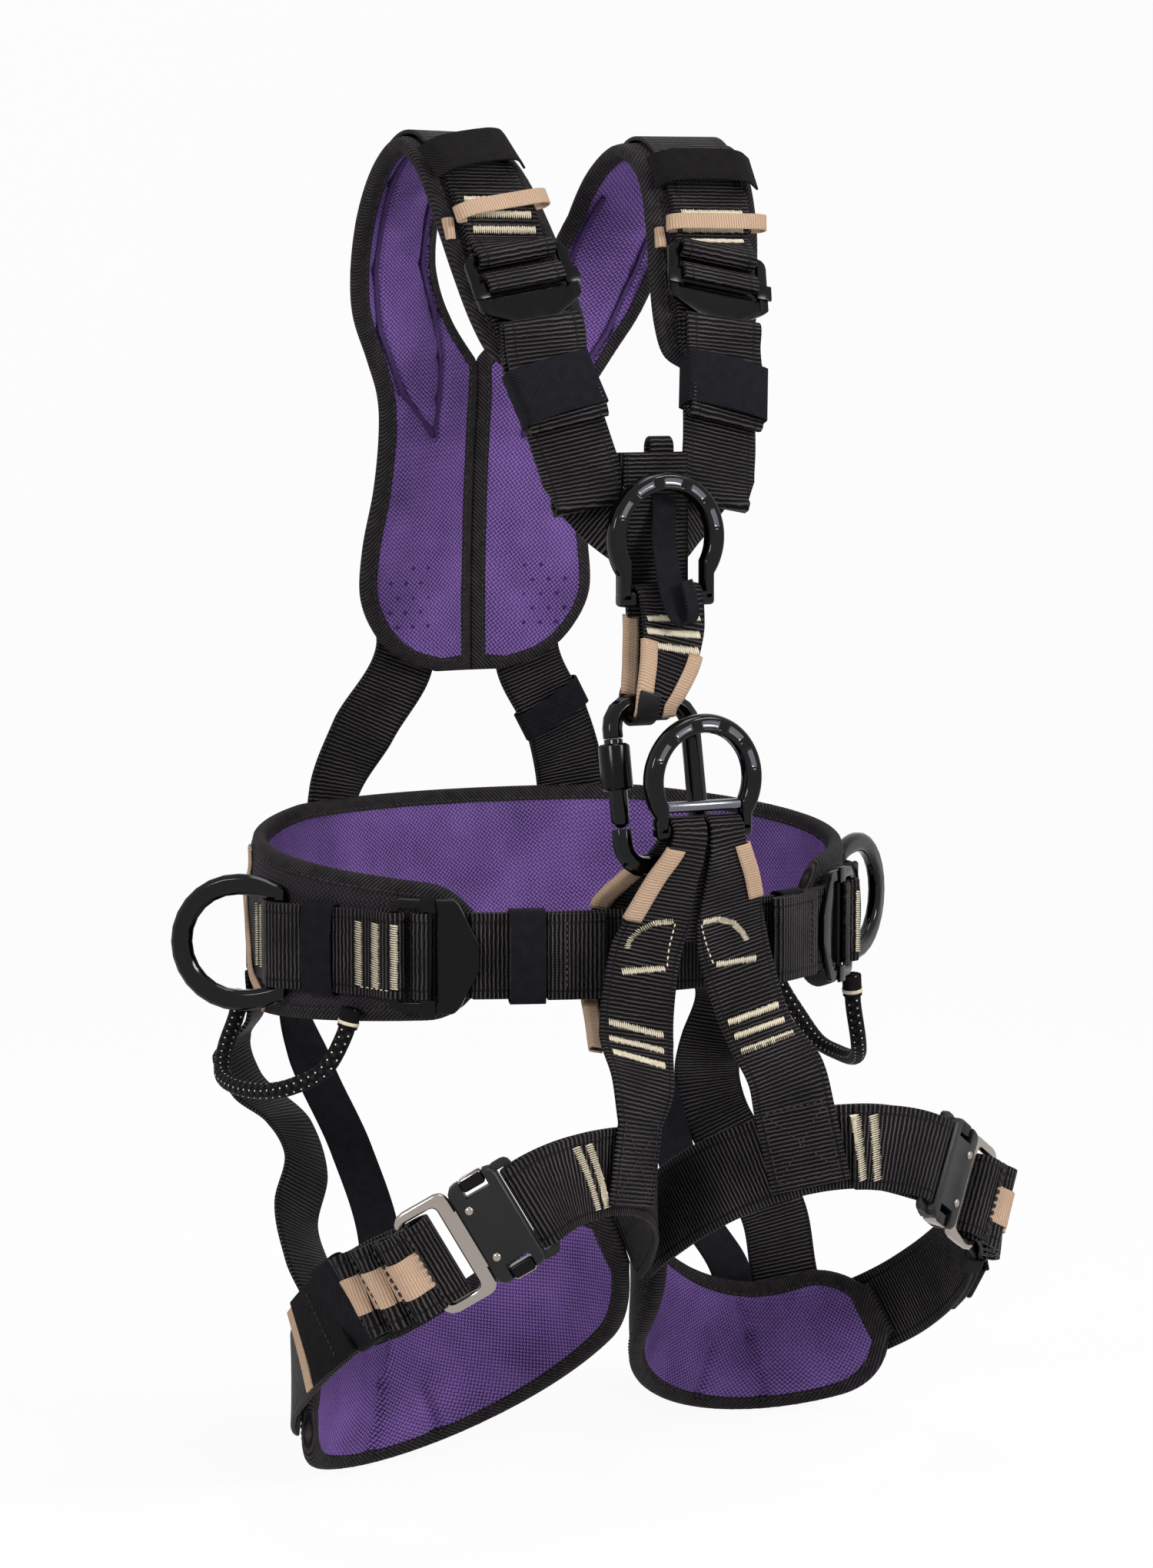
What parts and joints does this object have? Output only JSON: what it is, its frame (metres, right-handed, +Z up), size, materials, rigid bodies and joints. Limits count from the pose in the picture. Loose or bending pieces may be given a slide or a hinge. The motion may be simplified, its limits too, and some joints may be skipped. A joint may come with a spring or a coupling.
{
  "type": "full-body climbing harness",
  "caption": "Padded full-body climbing harness with waist belt, thigh loops, shoulder straps, forged rings, quick-release buckles and a carabiner.",
  "frame": {"origin": "on the wearer's mid-plane, inside the waist belt at the middle of its height, 18 mm in front of the belt's centre", "axes": "+Z up, the wearer faces -Y, +X is the wearer's left"},
  "size_m": [0.4442, 0.3515, 0.7152],
  "materials": {
    "black_webbing": "ribbed polyester webbing",
    "purple_pad_cloth": "woven cloth with black tape edges",
    "dark_elastic": "knitted elastic",
    "flecked_cord": "braided sheath with white flecks",
    "moulded_nylon": "satin moulded",
    "black_forged_aluminium": "gloss black anodised",
    "black_steel": "satin black plated",
    "polished_steel": "polished"
  },
  "bodies": {
    "harness": {"shoulder_pad_left": "purple_pad_cloth", "shoulder_pad_right": "purple_pad_cloth", "thigh_pad_left": "purple_pad_cloth", "thigh_pad_right": "purple_pad_cloth", "waist_pad": "purple_pad_cloth", "shoulder_strap_left": "black_webbing", "shoulder_strap_right": "black_webbing", "chest_web_left": "black_webbing", "chest_web_right": "black_webbing", "back_strap_left": "black_webbing", "back_strap_right": "black_webbing", "riser_left": "black_webbing", "riser_right": "black_webbing", "thigh_strap_front_left": "black_webbing", "thigh_strap_front_right": "black_webbing", "thigh_strap_outer_left": "black_webbing", "thigh_strap_outer_right": "black_webbing", "rear_web_left": "black_webbing", "rear_web_right": "black_webbing", "waist_strap_back": "black_webbing", "waist_strap_front": "black_webbing", "dorsal_loop": "black_webbing", "chest_yoke": "black_webbing", "chest_band": "black_webbing", "sternal_strap": "black_webbing", "rear_elastic_left": "dark_elastic", "rear_elastic_right": "dark_elastic", "waist_keeper_left": "dark_elastic", "waist_keeper_right": "dark_elastic", "chest_keeper_left": "dark_elastic", "chest_keeper_right": "dark_elastic", "gear_loop_left": "flecked_cord", "gear_loop_right": "flecked_cord", "dorsal_plate": "moulded_nylon", "carabiner_body": "black_forged_aluminium", "shoulder_adjuster_left_frame": "black_steel", "shoulder_adjuster_right_frame": "black_steel", "waist_adjuster_left_frame": "black_steel", "waist_adjuster_right_frame": "black_steel", "leg_buckle_left_housing": "black_steel", "leg_buckle_right_housing": "black_steel", "leg_buckle_left_tongue": "polished_steel", "leg_buckle_right_tongue": "polished_steel"},
    "sternal_ring_body": {"sternal_ring": "black_forged_aluminium"},
    "ventral_ring_body": {"ventral_ring": "black_forged_aluminium"},
    "dorsal_ring_body": {"dorsal_ring": "black_forged_aluminium"},
    "carabiner_gate_body": {"carabiner_gate": "black_forged_aluminium"},
    "carabiner_sleeve_body": {"carabiner_sleeve": "black_steel"},
    "side_ring_left_body": {"side_ring_left": "black_forged_aluminium"},
    "side_ring_right_body": {"side_ring_right": "black_forged_aluminium"},
    "shoulder_adjuster_left_slider_body": {"shoulder_adjuster_left_slider": "black_steel"},
    "shoulder_adjuster_right_slider_body": {"shoulder_adjuster_right_slider": "black_steel"},
    "waist_adjuster_left_slider_body": {"waist_adjuster_left_slider": "black_steel"},
    "waist_adjuster_right_slider_body": {"waist_adjuster_right_slider": "black_steel"},
    "leg_buckle_left_upper_latch_body": {"leg_buckle_left_upper_latch": "black_steel"},
    "leg_buckle_right_upper_latch_body": {"leg_buckle_right_upper_latch": "black_steel"},
    "leg_buckle_left_lower_latch_body": {"leg_buckle_left_lower_latch": "black_steel"},
    "leg_buckle_right_lower_latch_body": {"leg_buckle_right_lower_latch": "black_steel"}
  },
  "joints": [
    {"name": "sternal_ring_tilt", "type": "hinge", "parent": "harness", "child": "sternal_ring_body", "pos_m": [0, -0.11, 0.183], "axis": [1, 0, 0], "range_deg": [0, 115]},
    {"name": "ventral_ring_tilt", "type": "hinge", "parent": "harness", "child": "ventral_ring_body", "pos_m": [0, -0.15, 0.066], "axis": [1, 0, 0], "range_deg": [0, 90]},
    {"name": "dorsal_ring_tilt", "type": "hinge", "parent": "harness", "child": "dorsal_ring_body", "pos_m": [0, 0.13547, 0.23179], "axis": [1, 0, 0], "range_deg": [0, 150]},
    {"name": "side_ring_left_swing", "type": "hinge", "parent": "harness", "child": "side_ring_left_body", "pos_m": [0.17277, -0.00393, 0], "axis": [0, 0, 1], "range_deg": [-115, 35]},
    {"name": "side_ring_right_swing", "type": "hinge", "parent": "harness", "child": "side_ring_right_body", "pos_m": [-0.17277, -0.00393, 0], "axis": [0, 0, 1], "range_deg": [-35, 115]},
    {"name": "carabiner_gate_swing", "type": "hinge", "parent": "harness", "child": "carabiner_gate_body", "pos_m": [-0.039, -0.13316, 0.07195], "axis": [0, 0.9817, -0.1904], "range_deg": [0, 22], "stiffness_Nm_per_rad": 0.05},
    {"name": "carabiner_sleeve_turn", "type": "hinge", "parent": "carabiner_gate_body", "child": "carabiner_sleeve_body", "pos_m": [-0.039, -0.13316, 0.07195], "axis": [0, 0.1904, 0.9817], "range_deg": [0, 90], "stiffness_Nm_per_rad": 0.02},
    {"name": "waist_adjuster_left_slide", "type": "slide", "parent": "harness", "child": "waist_adjuster_left_slider_body", "axis": [0.7961, 0.6052, 0], "range_m": [0, 0.004]},
    {"name": "waist_adjuster_right_slide", "type": "slide", "parent": "harness", "child": "waist_adjuster_right_slider_body", "axis": [-0.7961, 0.6052, 0], "range_m": [0, 0.004]},
    {"name": "shoulder_adjuster_left_slide", "type": "slide", "parent": "harness", "child": "shoulder_adjuster_left_slider_body", "axis": [0.167, 0.369, 0.9143], "range_m": [0, 0.004]},
    {"name": "shoulder_adjuster_right_slide", "type": "slide", "parent": "harness", "child": "shoulder_adjuster_right_slider_body", "axis": [-0.167, 0.369, 0.9143], "range_m": [0, 0.004]},
    {"name": "leg_buckle_left_upper_press", "type": "slide", "parent": "harness", "child": "leg_buckle_left_upper_latch_body", "axis": [-0.4476, -0.238, -0.862], "range_m": [0, 0.0025], "stiffness_N_per_m": 600},
    {"name": "leg_buckle_left_lower_press", "type": "slide", "parent": "harness", "child": "leg_buckle_left_lower_latch_body", "axis": [0.4476, 0.238, 0.862], "range_m": [0, 0.0025], "stiffness_N_per_m": 600},
    {"name": "leg_buckle_right_upper_press", "type": "slide", "parent": "harness", "child": "leg_buckle_right_upper_latch_body", "axis": [0.4476, -0.238, -0.862], "range_m": [0, 0.0025], "stiffness_N_per_m": 600},
    {"name": "leg_buckle_right_lower_press", "type": "slide", "parent": "harness", "child": "leg_buckle_right_lower_latch_body", "axis": [-0.4476, 0.238, 0.862], "range_m": [0, 0.0025], "stiffness_N_per_m": 600}
  ]
}
